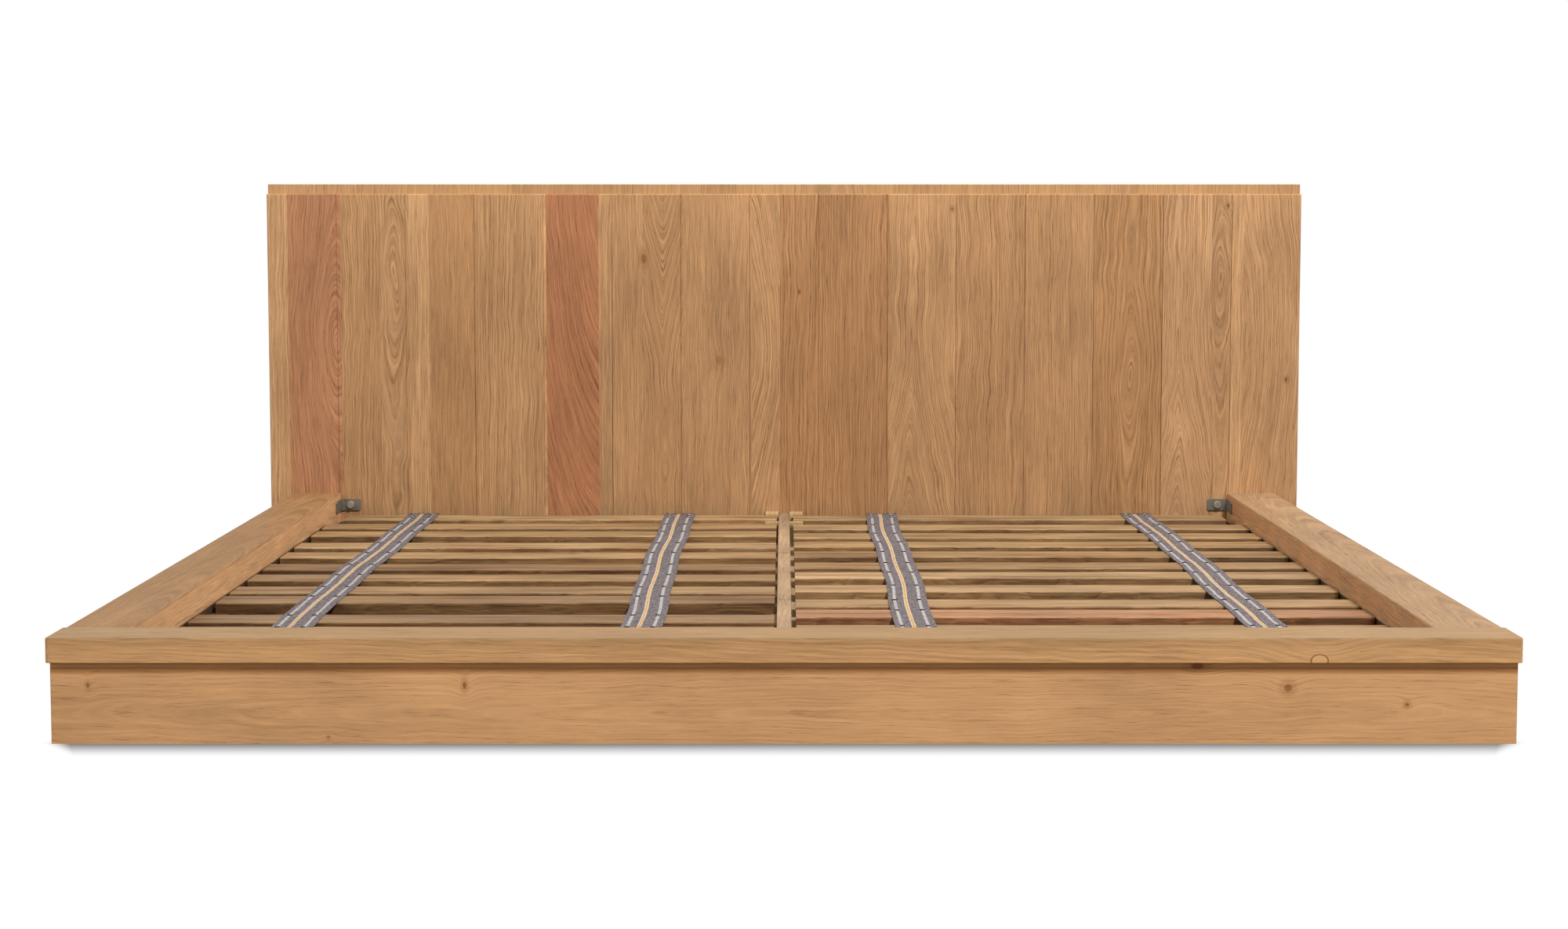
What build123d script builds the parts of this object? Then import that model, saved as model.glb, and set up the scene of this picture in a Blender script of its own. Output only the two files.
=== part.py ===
from build123d import *
import os

# Low oak platform bed in millimetres. The origin is on the floor under the middle of the bed,
# the foot faces -Y, the headboard stands at +Y, and +Z is up.

# Mattress well
well_width = 1970.0
well_length = 2050.0

# Flat cap boards round the well
cap_width = 105.0
cap_thickness = 38.0
cap_edge_radius = 3.5
cap_lower_radius = 1.0
foot_cap_step = 5.0
foot_cap_corner_radius = 7.0

# Skirt and inner boards under the caps
skirt_height = 122.0
skirt_thickness = 28.0
skirt_setback = 6.0
skirt_edge_radius = 2.0
inner_board_thickness = 24.0
inner_board_height = 100.0

# Headboard
plank_count = 15
headboard_overhang = 50.0
end_joint_past_rail = 3.0
plank_thickness = 20.0
plank_height = 822.0
plank_bevel = 1.2
plank_top_radius = 2.0
tongue_thickness = 6.0
tongue_length = 6.5
tongue_clearance = 0.3
back_panel_thickness = 30.0
back_panel_rise = 22.0
back_panel_edge_radius = 2.0

# Slats of the two roll-out sets
slat_count = 12
slat_width = 90.0
slat_thickness = 19.0
slat_edge_radius = 2.5
slat_drop = 44.0
slat_margin = 50.0
end_slat_relief = 20.0
left_rail_gap = 7.0
right_rail_gap = 3.0
left_beam_gap = 4.0

# How far each slat lies off an even spacing on its loose webbing, from the head to the foot
left_slat_shifts = (0.0, 4.0, -25.0, 13.0, 6.0, 24.0, 10.0, 12.0, -32.0, 30.0, 0.0, 0.0)
right_slat_shifts = (0.0, 19.0, 12.0, -5.0, -10.0, 0.0, -25.0, -9.0, 13.0, -30.0, -19.0, 0.0)

# Webbing straps, outer ones placed from the outer slat ends and inner ones from the inner ends
strap_width = 67.0
strap_thickness = 2.0
strap_tail = 12.0
left_outer_strap_inset = 181.0
left_inner_strap_inset = 216.0
right_outer_strap_inset = 202.0
right_inner_strap_inset = 195.0

# Centre beam, its ledgers, receivers and legs
beam_thickness = 24.0
beam_height = 80.0
beam_edge_radius = 1.5
beam_end_clearance = 1.0
centre_ledger_width = 20.0
centre_ledger_height = 30.0
centre_ledger_head_gap = 417.0
receiver_cheek = 28.7
receiver_clearance = 0.3
receiver_seat = 20.0
receiver_rise = 3.0
receiver_lug = 23.0
receiver_lug_drop = 3.0
notch_clearance = 3.0
leg_count = 3
leg_size = 45.0
leg_edge_bevel = 3.0

# Side ledgers
ledger_width = 30.0
ledger_height = 30.0
ledger_end_gap = 3.0

# Corner brackets bent from steel strip, each with a flanged hex bolt and two countersunk screws
bracket_steel = 3.5
bracket_height = 25.0
bracket_drop = 13.0
bracket_end_leg = 44.0
bracket_rail_leg = 77.0
bracket_bend_radius = 3.0
bracket_corner_bevel = 2.5
bolt_diameter = 8.0
bolt_length = 45.0
bolt_from_rail = 22.0
bolt_head_width = 13.0
bolt_head_height = 5.5
bolt_flange_diameter = 17.0
bolt_flange_thickness = 2.0
screw_diameter = 5.0
screw_head_diameter = 9.0
screw_length = 25.0
screw_from_end = 28.0
screw_pitch = 34.0
hole_clearance = 0.3
fastener_facets = 12

# Places that follow from those sizes
cap_top = skirt_height + cap_thickness
rail_inner = well_width / 2
rail_outer = rail_inner + cap_width
skirt_outer = rail_outer - skirt_setback
foot_cap_half = rail_outer + foot_cap_step
headboard_half = rail_outer + headboard_overhang
end_joint = rail_inner + end_joint_past_rail
plank_width = 2 * end_joint / (plank_count - 2)
bed_length = cap_width + well_length + plank_thickness + back_panel_thickness
foot_front = -bed_length / 2
foot_face = foot_front + cap_width
head_face = foot_face + well_length
well_middle = (foot_face + head_face) / 2
panel_front = foot_front + skirt_setback
panel_back = panel_front + skirt_thickness
slat_top = cap_top - slat_drop
slat_bottom = slat_top - slat_thickness
slat_pitch = (well_length - 2 * slat_margin - slat_width) / (slat_count - 1)
slat_length = rail_inner - left_rail_gap - left_beam_gap - beam_thickness / 2
beam_bottom = slat_top - beam_height
receiver_half = beam_thickness / 2 + receiver_clearance + receiver_cheek
receiver_length = slat_margin + slat_width + notch_clearance + receiver_lug

bracket_top = cap_top - bracket_drop
bracket_middle = bracket_top - bracket_height / 2

# The two ends of the well: its face and the way into the well
head_end = (head_face, -1)
foot_end = (foot_face, 1)
sides = {"left": -1, "right": 1}


def save(piece, name):
    """Name a finished piece and write it as its own file."""
    piece.part.label = name
    export_step(piece.part, f"parts/{name}.step")


def bolt_seat(end, side):
    """The bolt seat on a bracket's short leg, which lies on the end of the well."""
    face, inward = end
    x = side * (rail_inner - bolt_from_rail)
    y = face + inward * bracket_steel
    return Plane(origin=(x, y, bracket_middle), z_dir=(0, inward, 0))


def screw_seats(end, side):
    """The screw seats on a bracket's long leg, which lies on the side rail."""
    face, inward = end
    x = side * (rail_inner - bracket_steel)
    places = [face + inward * along for along in (screw_from_end, screw_from_end + screw_pitch)]
    return [Plane(origin=(x, y, bracket_middle), z_dir=(-side, 0, 0)) for y in places]


def drill(seats, diameter, length):
    """Holes from these seats, a little wider and longer than the fastener."""
    with Locations(*seats):
        Hole(diameter / 2 + hole_clearance, depth=length + hole_clearance)


def rectangle_between(x_low, x_high, y_low, y_high, mode=Mode.ADD):
    """A rectangle in the open sketch, given by its four sides."""
    with Locations(((x_low + x_high) / 2, (y_low + y_high) / 2)):
        Rectangle(x_high - x_low, y_high - y_low, mode=mode)


head_bolt_seats = [bolt_seat(head_end, side) for side in sides.values()]
foot_bolt_seats = [bolt_seat(foot_end, side) for side in sides.values()]


def headboard_plank(index):
    """A vertical plank, tongued on its right edge and grooved on its left."""
    inner_joints = [number * plank_width - end_joint for number in range(plank_count - 1)]
    left, right = [-headboard_half, *inner_joints, headboard_half][index : index + 2]
    back = head_face + plank_thickness
    middle = (head_face + back) / 2
    half_groove = tongue_thickness / 2 + tongue_clearance
    with BuildPart() as plank:
        with BuildSketch():
            rectangle_between(left, right, head_face, back)
            chamfer(vertices().group_by(Axis.Y)[0], plank_bevel)
            if index < plank_count - 1:
                tongue = (middle - tongue_thickness / 2, middle + tongue_thickness / 2)
                rectangle_between(right, right + tongue_length, *tongue)
            if index > 0:
                groove = (middle - half_groove, middle + half_groove)
                groove_end = left + tongue_length + tongue_clearance
                rectangle_between(left, groove_end, *groove, mode=Mode.SUBTRACT)
        extrude(amount=plank_height)
        front_top = plank.edges().filter_by(Axis.X).group_by(Axis.Z)[-1].sort_by(Axis.Y)[0]
        fillet(front_top, plank_top_radius)
        reach = tongue_length + bolt_diameter
        near = [seat for seat in head_bolt_seats if left - reach < seat.origin.X < right + reach]
        if near:
            drill(near, bolt_diameter, bolt_length)
    return plank


def headboard_back_panel():
    """The panel behind the planks, standing above them along the top."""
    front = head_face + plank_thickness
    with BuildPart() as panel:
        with BuildSketch():
            rectangle_between(-headboard_half, headboard_half, front, front + back_panel_thickness)
        extrude(amount=plank_height + back_panel_rise)
        fillet(panel.edges().filter_by(Axis.X).group_by(Axis.Z)[-1], back_panel_edge_radius)
        drill(head_bolt_seats, bolt_diameter, bolt_length)
    return panel


def footboard_cap():
    """The full-width cap board across the foot."""
    with BuildPart() as cap:
        with BuildSketch(Plane.XY.offset(skirt_height)):
            rectangle_between(-foot_cap_half, foot_cap_half, foot_front, foot_face)
            fillet(vertices().group_by(Axis.Y)[0], foot_cap_corner_radius)
        extrude(amount=cap_thickness)
        faces_by_height = cap.faces().sort_by(Axis.Z)
        fillet(faces_by_height[0].edges().sort_by(Axis.Y)[:-1], cap_lower_radius)
        fillet(faces_by_height[-1].edges().sort_by(Axis.Y)[:-1], cap_edge_radius)
        drill(foot_bolt_seats, bolt_diameter, bolt_length)
    return cap


def footboard_panel():
    """The upright panel under the footboard cap, set back from its edges."""
    half = foot_cap_half - skirt_setback
    with BuildPart() as panel:
        with BuildSketch():
            rectangle_between(-half, half, panel_front, panel_back)
            fillet(vertices(), skirt_edge_radius)
        extrude(amount=skirt_height)
    return panel


def footboard_inner_board():
    """The board that closes the footboard on the side of the well."""
    half = skirt_outer - skirt_thickness
    with BuildPart() as board:
        with BuildSketch(Plane.XY.offset(skirt_height)):
            rectangle_between(-half, half, foot_face - inner_board_thickness, foot_face)
        extrude(amount=-inner_board_height)
    return board


def rail_cap(side):
    """A side cap board, butted between the footboard cap and the headboard."""
    low, high = sorted((side * rail_inner, side * rail_outer))
    with BuildPart() as cap:
        with BuildSketch(Plane.XY.offset(skirt_height)):
            rectangle_between(low, high, foot_face, head_face)
        extrude(amount=cap_thickness)
        fillet(cap.edges().filter_by(Axis.Y).group_by(Axis.Z)[-1], cap_edge_radius)
        drill(screw_seats(head_end, side) + screw_seats(foot_end, side), screw_diameter, screw_length)
    return cap


def rail_skirt(side):
    """The upright board under a side cap, running on to the footboard panel."""
    low, high = sorted((side * (skirt_outer - skirt_thickness), side * skirt_outer))
    with BuildPart() as skirt:
        with BuildSketch():
            rectangle_between(low, high, panel_back, head_face)
        extrude(amount=skirt_height)
    return skirt


def rail_inner_board(side):
    """The board under a side cap that faces the well and carries the ledger."""
    low, high = sorted((side * rail_inner, side * (rail_inner + inner_board_thickness)))
    with BuildPart() as board:
        with BuildSketch(Plane.XY.offset(skirt_height)):
            rectangle_between(low, high, foot_face, head_face)
        extrude(amount=-inner_board_height)
    return board


def rail_ledgers():
    """The strips along the rails that carry the outer slat ends."""
    start, end = foot_face + ledger_end_gap, head_face - ledger_end_gap
    with BuildPart() as ledgers:
        with BuildSketch(Plane.XY.offset(slat_bottom)):
            rectangle_between(rail_inner - ledger_width, rail_inner, start, end)
        extrude(amount=-ledger_height)
        mirror(about=Plane.YZ)
    return ledgers


def centre_beam():
    """The board on edge down the middle of the well."""
    half = beam_thickness / 2
    start, end = foot_face + beam_end_clearance, head_face - beam_end_clearance
    with BuildPart() as beam:
        with BuildSketch(Plane.XY.offset(beam_bottom)):
            rectangle_between(-half, half, start, end)
        extrude(amount=beam_height)
        fillet(beam.edges().filter_by(Axis.Y).group_by(Axis.Z)[-1], beam_edge_radius)
    return beam


def centre_ledgers():
    """The strips on the beam that carry the inner slat ends, stopping short of the head."""
    half = beam_thickness / 2
    start, end = foot_face + receiver_length, head_face - centre_ledger_head_gap
    with BuildPart() as ledgers:
        with BuildSketch(Plane.XY.offset(slat_bottom)):
            rectangle_between(half, half + centre_ledger_width, start, end)
        extrude(amount=-centre_ledger_height)
        mirror(about=Plane.YZ)
    return ledgers


def beam_receivers():
    """The forked blocks that hold the beam ends, each notched for the end slats."""
    top = slat_top + receiver_rise
    lug_top = slat_top - receiver_lug_drop
    bottom = beam_bottom - receiver_seat
    notch_back = head_face - slat_margin + notch_clearance
    notch_front = head_face - slat_margin - slat_width - notch_clearance
    tip = head_face - receiver_length
    slot_half = beam_thickness / 2 + receiver_clearance
    with BuildPart() as receivers:
        with BuildSketch(Plane.YZ):
            with BuildLine():
                Polyline(
                    (head_face, bottom),
                    (head_face, top),
                    (notch_back, top),
                    (notch_back, slat_bottom),
                    (notch_front, slat_bottom),
                    (notch_front, lug_top),
                    (tip, lug_top),
                    (tip, bottom),
                    close=True,
                )
            make_face()
        extrude(amount=receiver_half, both=True)
        with BuildSketch(Plane.XY.offset(beam_bottom)):
            rectangle_between(-slot_half, slot_half, tip, head_face)
        extrude(amount=top - beam_bottom, mode=Mode.SUBTRACT)
        mirror(about=Plane.XZ.offset(-well_middle))
    return receivers


def centre_legs():
    """The short square legs under the beam."""
    with BuildPart() as legs:
        with BuildSketch():
            with Locations((0, well_middle)):
                with GridLocations(0, well_length / (leg_count + 1), 1, leg_count):
                    Rectangle(leg_size, leg_size)
            chamfer(vertices(), leg_edge_bevel)
        extrude(amount=beam_bottom)
    return legs


def slat_ends(side):
    """Distances from the middle of the bed to a set's inner and outer slat ends."""
    outer = rail_inner - (left_rail_gap if side < 0 else right_rail_gap)
    return outer - slat_length, outer


def slat(side, index):
    """A slat, counted from the head. The end slats are cut back to clear the brackets."""
    inner, outer = slat_ends(side)
    if index in (0, slat_count - 1):
        outer = outer - end_slat_relief
    shift = (left_slat_shifts if side < 0 else right_slat_shifts)[index]
    low, high = sorted((side * inner, side * outer))
    back = head_face - slat_margin - index * slat_pitch - shift
    with BuildPart() as board:
        with BuildSketch(Plane.XY.offset(slat_bottom)):
            rectangle_between(low, high, back - slat_width, back)
        extrude(amount=slat_thickness)
        fillet(board.edges().filter_by(Axis.X).group_by(Axis.Z)[-1], slat_edge_radius)
    return board


def strap(side, distance):
    """A flat webbing strap over a set's slats, this far from the middle of the bed."""
    reach = well_length / 2 - slat_margin + strap_tail
    with BuildPart() as webbing:
        with BuildSketch(Plane.XY.offset(slat_top)):
            with Locations((side * distance, well_middle)):
                Rectangle(strap_width, 2 * reach)
        extrude(amount=strap_thickness)
    return webbing


def corner_brackets():
    """The steel angles in the four corners of the well."""
    head_radius = screw_head_diameter / 2 + hole_clearance
    shank_radius = screw_diameter / 2 + hole_clearance
    with BuildPart() as brackets:
        for face, inward in (head_end, foot_end):
            inside_x = rail_inner - bracket_steel
            inside_y = face + inward * bracket_steel
            tip_y = face + inward * bracket_rail_leg
            with BuildSketch(Plane.XY.offset(bracket_top)):
                rectangle_between(rail_inner - bracket_end_leg, rail_inner, *sorted((face, inside_y)))
                rectangle_between(inside_x, rail_inner, *sorted((face, tip_y)))
                outer_bend = vertices().sort_by_distance((rail_inner, face))[0]
                fillet(outer_bend, bracket_bend_radius + bracket_steel)
                inner_bend = vertices().sort_by_distance((inside_x, inside_y))[0]
                fillet(inner_bend, bracket_bend_radius)
            extrude(amount=-bracket_height)
        for direction in (Axis.X, Axis.Y):
            free_corners = brackets.edges().filter_by(direction).group_by(SortBy.LENGTH)[0]
            chamfer(free_corners, bracket_corner_bevel)
        for end in (head_end, foot_end):
            drill([bolt_seat(end, 1)], bolt_diameter, bracket_steel)
            with Locations(*screw_seats(end, 1)):
                CounterSinkHole(shank_radius, head_radius, depth=bracket_steel, counter_sink_angle=90)
        mirror(about=Plane.YZ)
    return brackets


def bracket_bolts():
    """The flanged hex bolts and countersunk screws of all four brackets."""
    bolt_seats = head_bolt_seats + foot_bolt_seats
    all_screw_seats = []
    for end in (head_end, foot_end):
        for side in sides.values():
            all_screw_seats += screw_seats(end, side)
    screw_head_depth = (screw_head_diameter - screw_diameter) / 2
    with BuildPart() as bolts:
        with BuildSketch(*bolt_seats):
            RegularPolygon(bolt_flange_diameter / 2, fastener_facets)
        extrude(amount=bolt_flange_thickness)
        with BuildSketch(*[seat.offset(bolt_flange_thickness) for seat in bolt_seats]):
            RegularPolygon(bolt_head_width / 2, 6, major_radius=False)
        extrude(amount=bolt_head_height)
        with BuildSketch(*bolt_seats):
            RegularPolygon(bolt_diameter / 2, fastener_facets)
        extrude(amount=-bolt_length)
        for seat in all_screw_seats:
            with BuildSketch(seat):
                RegularPolygon(screw_head_diameter / 2, fastener_facets)
            with BuildSketch(seat.offset(-screw_head_depth)):
                RegularPolygon(screw_diameter / 2, fastener_facets)
            loft(ruled=True)
        with BuildSketch(*[seat.offset(-screw_head_depth) for seat in all_screw_seats]):
            RegularPolygon(screw_diameter / 2, fastener_facets)
        extrude(amount=screw_head_depth - screw_length)
    return bolts


os.makedirs("parts", exist_ok=True)

for number in range(plank_count):
    save(headboard_plank(number), f"headboard_plank_{number + 1:02d}")
save(headboard_back_panel(), "headboard_back_panel")

save(footboard_cap(), "footboard_cap")
save(footboard_panel(), "footboard_panel")
save(footboard_inner_board(), "footboard_inner_board")

for hand, sign in sides.items():
    save(rail_cap(sign), f"{hand}_rail_cap")
    save(rail_skirt(sign), f"{hand}_rail_skirt")
    save(rail_inner_board(sign), f"{hand}_rail_inner_board")
save(rail_ledgers(), "rail_ledgers")

save(centre_beam(), "centre_beam")
save(centre_ledgers(), "centre_ledgers")
save(beam_receivers(), "beam_receivers")
save(centre_legs(), "centre_legs")

for hand, sign in sides.items():
    for number in range(slat_count):
        save(slat(sign, number), f"{hand}_slat_{number + 1:02d}")
strap_insets = {
    "left": (left_inner_strap_inset, left_outer_strap_inset),
    "right": (right_inner_strap_inset, right_outer_strap_inset),
}
for hand, sign in sides.items():
    inner_end, outer_end = slat_ends(sign)
    inner_inset, outer_inset = strap_insets[hand]
    save(strap(sign, inner_end + inner_inset), f"{hand}_inner_strap")
    save(strap(sign, outer_end - outer_inset), f"{hand}_outer_strap")

save(corner_brackets(), "corner_brackets")
save(bracket_bolts(), "bracket_bolts")
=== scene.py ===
"""Finishes the slatted oak bed frame: its timber, webbing straps, staples, steel and studio."""

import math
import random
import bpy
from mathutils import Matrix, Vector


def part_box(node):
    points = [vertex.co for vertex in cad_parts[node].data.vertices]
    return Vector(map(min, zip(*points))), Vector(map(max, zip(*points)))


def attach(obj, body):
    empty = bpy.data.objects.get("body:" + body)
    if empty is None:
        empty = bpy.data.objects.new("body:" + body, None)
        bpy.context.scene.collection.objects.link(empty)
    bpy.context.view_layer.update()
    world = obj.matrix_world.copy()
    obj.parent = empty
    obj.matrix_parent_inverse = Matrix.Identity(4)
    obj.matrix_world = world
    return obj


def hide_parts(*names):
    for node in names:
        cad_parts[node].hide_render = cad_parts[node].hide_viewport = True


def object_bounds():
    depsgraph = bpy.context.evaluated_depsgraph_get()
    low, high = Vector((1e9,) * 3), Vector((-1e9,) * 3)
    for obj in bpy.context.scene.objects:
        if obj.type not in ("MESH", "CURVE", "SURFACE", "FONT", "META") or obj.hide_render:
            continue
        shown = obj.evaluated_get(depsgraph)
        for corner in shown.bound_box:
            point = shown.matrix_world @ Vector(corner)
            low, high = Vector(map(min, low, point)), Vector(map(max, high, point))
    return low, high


bl_info = {
    "name": "Slatted Oak Bed",
    "version": (1, 0, 0),
    "blender": (4, 5, 0),
    "location": "View3D > Sidebar > Bed",
    "description": "Finishes the packed bed frame and sets it in a white studio",
    "category": "Object",
}

import bmesh
import bpy
from bpy.props import FloatProperty, FloatVectorProperty, PointerProperty
from mathutils import Matrix, Vector

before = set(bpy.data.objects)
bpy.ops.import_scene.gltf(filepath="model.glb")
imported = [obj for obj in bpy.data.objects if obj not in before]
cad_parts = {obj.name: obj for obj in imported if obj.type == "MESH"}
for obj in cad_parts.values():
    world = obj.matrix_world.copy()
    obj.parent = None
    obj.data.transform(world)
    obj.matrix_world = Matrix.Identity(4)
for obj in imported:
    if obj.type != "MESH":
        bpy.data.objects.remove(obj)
CAD_BOX = [list(corner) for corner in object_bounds()]

SIDES = ("left", "right")
PLANKS = sorted(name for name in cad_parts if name.startswith("headboard_plank"))
SLATS = {
    side: sorted(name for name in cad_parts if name.startswith(side + "_slat_"))
    for side in SIDES
}

# Headboard staves: plank, share of its width where the stave starts, tone, figure.
STAVES = (
    (1, 0.00, "honey", "straight"),
    (1, 0.27, "rose", "swirl"),
    (2, 0.00, "tan", "wavy"),
    (2, 0.61, "light", "loops"),
    (3, 0.00, "honey", "straight"),
    (3, 0.29, "olive", "quartered"),
    (4, 0.00, "light", "streaked"),
    (4, 0.93, "honey", "straight"),
    (5, 0.00, "russet", "feathered"),
    (5, 0.76, "light", "straight"),
    (6, 0.00, "tan", "straight"),
    (6, 0.42, "tan", "falling arches"),
    (7, 0.00, "tan", "quartered"),
    (8, 0.00, "light", "sweeping"),
    (8, 0.42, "brown", "streaked"),
    (9, 0.00, "brown", "streaked"),
    (10, 0.00, "light", "rising arches"),
    (11, 0.00, "tan", "wavy"),
    (12, 0.00, "tan", "straight"),
    (13, 0.00, "olive", "ovals"),
    (14, 0.00, "blush", "rising arches"),
    (14, 0.65, "light", "loops"),
    (15, 0.00, "honey", "straight"),
    (15, 0.14, "light", "sweeping"),
)

# How a stave was cut: heart line as a share of its width, height where the heart
# reaches the face, lean of the heart behind the face, how deep it goes there, climb of
# the arches, wander of the grain, ring width and how strongly the grain shows.
FIGURES = {
    "straight": (2.60, -1.60, 0.02, 1.00, 0.00, 0.010, 0.0046, 0.60),
    "wavy": (1.50, -1.20, 0.03, 1.00, 0.00, 0.020, 0.0044, 0.75),
    "swirl": (1.02, 0.50, 0.26, 0.06, 0.00, 0.018, 0.0046, 0.60),
    "ovals": (0.55, 0.42, 0.22, 0.03, 0.00, 0.020, 0.0044, 0.80),
    "loops": (0.50, 0.64, 0.16, 0.04, 0.00, 0.022, 0.0044, 0.72),
    "quartered": (4.00, -1.60, 0.03, 1.00, 0.00, 0.012, 0.0045, 0.45),
    "streaked": (1.60, -1.20, 0.03, 1.00, 0.00, 0.014, 0.0058, 0.80),
    "feathered": (1.35, 1.00, 0.20, 1.00, 0.00, 0.013, 0.0046, 0.58),
    "sweeping": (-0.40, 0.50, 0.26, 0.12, 0.00, 0.013, 0.0046, 0.75),
    "falling arches": (0.55, 0.46, 0.03, 1.00, -0.22, 0.016, 0.0044, 0.80),
    "rising arches": (0.35, 0.44, 0.03, 1.00, 0.20, 0.018, 0.0044, 0.80),
}

# Knots: place across and along the grain, half their size across it, their length along
# it as a share of that, and their darkness.
HEADBOARD_KNOTS = (
    (-0.310, 0.680, 0.0075, 1.8, 0.70),
    (-0.143, 0.455, 0.0075, 1.8, 0.50),
    (0.034, 0.607, 0.0030, 1.6, 0.90),
    (0.371, 0.789, 0.0035, 1.6, 0.80),
    (0.979, 0.797, 0.0035, 1.6, 0.90),
    (1.112, 0.413, 0.0035, 1.6, 0.90),
)
PANEL_KNOTS = (
    (0.117, 0.613, 0.0060, 2.0, 1.00),
    (0.084, 0.748, 0.0075, 1.0, 0.85),
    (0.059, 0.925, 0.0040, 1.0, 0.85),
    (0.088, -1.033, 0.0050, 0.6, 0.80),
    (0.088, -0.474, 0.0070, 0.5, 0.90),
    (0.010, -0.677, 0.0030, 0.8, 0.60),
)
# The round patch let into the cap's lower edge: place, half its size and its length as a share.
CAP_PLUG = (0.1255, 0.793, 0.0095, 1.35)

# Thin dark marks across the centre beam: place along it and darkness. A mark is full up to the
# first distance from its middle and gone at the second, along the beam and then across it.
BEAM_MARKS = ((0.314, 0.9), (-0.368, 0.6))
BEAM_MARK_ALONG = (0.002, 0.007)
BEAM_MARK_ACROSS = (0.008, 0.012)

# Slat tones from the first slat on.
SLAT_TONES = {
    "left": "pale sand sand pale sand umber fawn fawn umber umber fawn sand",
    "right": "pale pale sand sand fawn fawn pale pale sand rust fawn sand",
}

# How far each strap leans to the right at the foot end.
STRAP_LEAN = {
    "left_outer_strap": -0.004,
    "left_inner_strap": -0.002,
    "right_inner_strap": 0.000,
    "right_outer_strap": 0.006,
}
# The waves in which a strap sways: size, angle per metre along it, and angle per metre of its
# place across the bed. The curl of its edges has one wave.
SWAY_WAVES = ((1.0, 4.1, 9.0), (0.6, 11.3, 18.0))
CURL_WAVE = (7.0, 3.0)
# Clearance of a strap over the slats, and the distances from a slat at which dip and curl are full.
STRAP_LIFT = 0.0001
DIP_REACH = 0.03
CURL_REACH = 0.02
# A strap is set down on the middle of the first slat, this far to either side.
STRAP_REST = 0.03

# Weave of the straps: threads across, length of a row, contrast of the specks and of the threads.
WARP_THREADS = 28.0
WEFT_ROW = 0.0032
PEPPER = 1.3
THREAD_RELIEF = 0.08

# Loose threads at a cut end: how many, the strip they grow from, how far inside the end they start,
# the ranges of their rise and length, and the mean and spread of their splay and droop.
THREADS = 44
RIM = 0.002
THREAD_ROOT = 0.002
THREAD_RISE = (0.0002, 0.0010)
THREAD_LENGTH = (0.005, 0.014)
THREAD_SPLAY = (0, 0.35)
THREAD_DROOP = (-0.2, 0.25)

# Staples: rows from a slat's back edge, the second on end slats only, shares of the strap's width,
# how far a staple strays and turns, and how thick its legs are as a share of the wire.
STAPLE_ROWS = (0.022, 0.060)
STAPLE_SHARES = (0.17, 0.79)
STAPLE_STRAY = 0.003
STAPLE_TURN = 0.12
STAPLE_LEG = 0.9
# Specks of wear on steel, in waves to the metre.
STEEL_SPECKS = 60.0

# A seed moves a board to another part of the noise, this far for its figure and its stains. Golden
# steps keep neighbours unlike, and the right slats are a step off the left ones.
SEED_SHIFT = 61.0
STAIN_SHIFT = 37.0
GOLDEN_STEP = 0.618
RIGHT_SLAT_STEP = 0.3
RAIL_SEEDS = {"left": 0.29, "right": 0.83}
# The heart of a rail lies this far to the right of its middle, and those of the slats at a
# multiple of the seed plus a shift.
RAIL_HEART = 0.03
SLAT_HEARTS = (1.6, -0.8)

# How far the grain strays: slow waves and ripples as shares of the board's wander, quick ones in
# metres. The last value rounds the start of the arches.
SLOW_STRAY = 2.0
RIPPLE_STRAY = 1.0
QUICK_STRAY = 0.0030
ARCH_ROUNDING = 0.02
# Years vary in width at this pace and by this much. Late wood starts and is darkest at these
# shares of a year, and the faintest ring has this strength.
YEAR_PACE = 0.45
YEAR_SPREAD = 2.6
LATE_WOOD = (0.40, 0.90)
FAINTEST_RING = 0.35
# Ranges of the noise that break up the rings, and that make pores, flecks and streaks.
RING_BREAKS = (0.36, 0.60, 0.50, 1.0)
PORE_RANGE = (0.54, 0.70)
FLECK_RANGE = (0.52, 0.70)
STREAK_RANGE = (0.32, 0.78)
# Share of pores away from the rings, and how many more there are in them.
PORES_APART = 0.35
PORES_IN_RINGS = 0.75
# Streaked boards are this much lighter between the streaks. Fibre shows in the relief and gloss.
STREAK_LIFT = 0.08
FIBRE_RELIEF = 0.8
FIBRE_GLOSS = 0.2
# Fades from the middle of a spot outwards, in squares of its size: rim and face of a plug, heart
# and halo of a knot, and the strength of that halo.
PLUG_RIM_INSIDE = (0.70, 0.95)
PLUG_RIM_OUTSIDE = (1.0, 1.3, 0.9, 0.0)
PLUG_FACE = (0.65, 0.90, 1.0, 0.0)
KNOT_HEART = (0.2, 1.2)
KNOT_HALO = (0.5, 6.0)
HALO_STRENGTH = 0.35

# A stave's figure is packed into the 0 to 1 of a colour ramp. These are the spans it covers.
HEART_SPAN = 4.0
CROSSING_SPAN = 8.0
LEAN_SPAN = 0.5
WANDER_SPAN = 0.1
RING_SPAN = 0.02

# What a mark or a shade multiplies the tone of the wood by.
STREAK = (0.60, 0.54, 0.46)
RING = (0.58, 0.47, 0.37)
PORE = (0.48, 0.37, 0.30)
RAY_FLECK = (1.22, 1.24, 1.26)
PLUG = (1.10, 1.12, 1.08)
KNOT = (0.40, 0.27, 0.17)
SEAM = (0.42, 0.34, 0.28)
CAP_SHADOW = (0.64, 0.53, 0.40)
# Painted shade: the top of the cap's painted shadow on the panel is lighter and warmer.
CAP_SHADOW_TOP_TINT = (1.26, 1.06, 0.76)
SLAT_STAIN = (0.62, 0.48, 0.38)
SLAT_BLEACH = (1.22, 1.24, 1.30)
# Painted shade: the slats' fronts, which lie in shade between the slats, are darker.
SLAT_FRONT = (0.78, 0.67, 0.56)
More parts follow.
